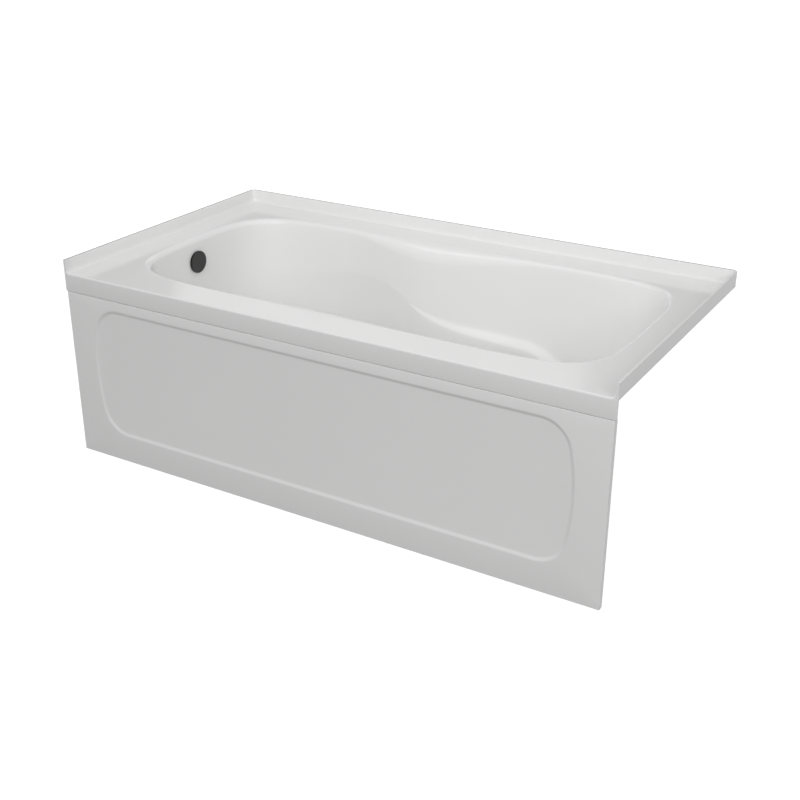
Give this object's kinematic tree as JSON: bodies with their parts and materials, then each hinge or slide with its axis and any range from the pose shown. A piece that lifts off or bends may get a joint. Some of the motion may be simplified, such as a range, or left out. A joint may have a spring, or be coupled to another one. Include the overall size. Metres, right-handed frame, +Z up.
{
  "type": "alcove bathtub",
  "caption": "White alcove bathtub with a sculpted oval well, an upstanding tiling flange on the wall sides and a front skirt with a recessed panel, on a timber base, with overflow and drain.",
  "frame": {"origin": "on the floor, under the middle of the tub", "axes": "+X along the tub from the drain end to the head end, +Y from the skirt towards the back wall, +Z up"},
  "size_m": [1.524, 0.8128, 0.5461],
  "materials": {
    "acrylic": "white glossy acrylic sheet",
    "acrylic_skirt": "white acrylic sheet, satin gloss",
    "fibreglass": "sprayed chopped-strand fibreglass and resin",
    "timber": "planed softwood",
    "plywood": "plywood board",
    "screw_steel": "zinc-plated steel",
    "bedding_foam": "rigid poured foam",
    "rubber_seal": "black rubber",
    "pipe_plastic": "black waste pipe plastic",
    "nut_plastic": "dark grey moulded plastic",
    "washer_plastic": "white slip-joint washer",
    "sheath_plastic": "black plastic cable sheath",
    "retainer_plastic": "black moulded plastic",
    "dark_metal": "dark satin finish on metal",
    "spindle_brass": "plain brass"
  },
  "bodies": {
    "tub": {"tub_shell": "acrylic", "fibreglass_backing": "fibreglass", "front_skirt": "acrylic_skirt", "front_deck_rail": "timber", "back_deck_rail": "timber", "drain_end_rail": "timber", "head_end_rail": "timber", "skirt_foot_rail": "timber", "skirt_post_drain_end": "timber", "skirt_post_middle": "timber", "skirt_post_head_end": "timber", "base_board": "plywood", "base_bearer_drain_end": "timber", "base_bearer_middle": "timber", "base_bearer_head_end": "timber", "skirt_brace_drain_end": "timber", "skirt_brace_head_end": "timber", "bearer_screws": "screw_steel", "brace_screws": "screw_steel", "floor_bedding": "bedding_foam", "overflow_gasket": "rubber_seal", "overflow_elbow": "pipe_plastic", "overflow_retainer": "retainer_plastic", "overflow_tube": "pipe_plastic", "waste_tee": "pipe_plastic", "shoe_tube": "pipe_plastic", "slip_nuts": "nut_plastic", "slip_washers": "washer_plastic", "cable_sheath": "sheath_plastic", "drain_gasket": "rubber_seal", "drain_shoe": "pipe_plastic", "drain_flange": "dark_metal"},
    "overflow_knob": {"overflow_knob": "dark_metal", "overflow_spindle": "spindle_brass"},
    "stopper": {"drain_stopper": "dark_metal", "stopper_seal": "rubber_seal", "lift_pin": "spindle_brass"}
  },
  "joints": [
    {"name": "knob_turn", "type": "hinge", "parent": "tub", "child": "overflow_knob", "pos_m": [-0.66, 0, 0.443], "axis": [1, 0, 0], "range_deg": [0, 100]},
    {"name": "stopper_lift", "type": "slide", "parent": "tub", "child": "stopper", "axis": [0, 0, 1], "range_m": [0, 0.01]}
  ],
  "couplings": [
    {"joint": "stopper_lift", "follows": "knob_turn", "m_per_rad": 0.0057}
  ]
}
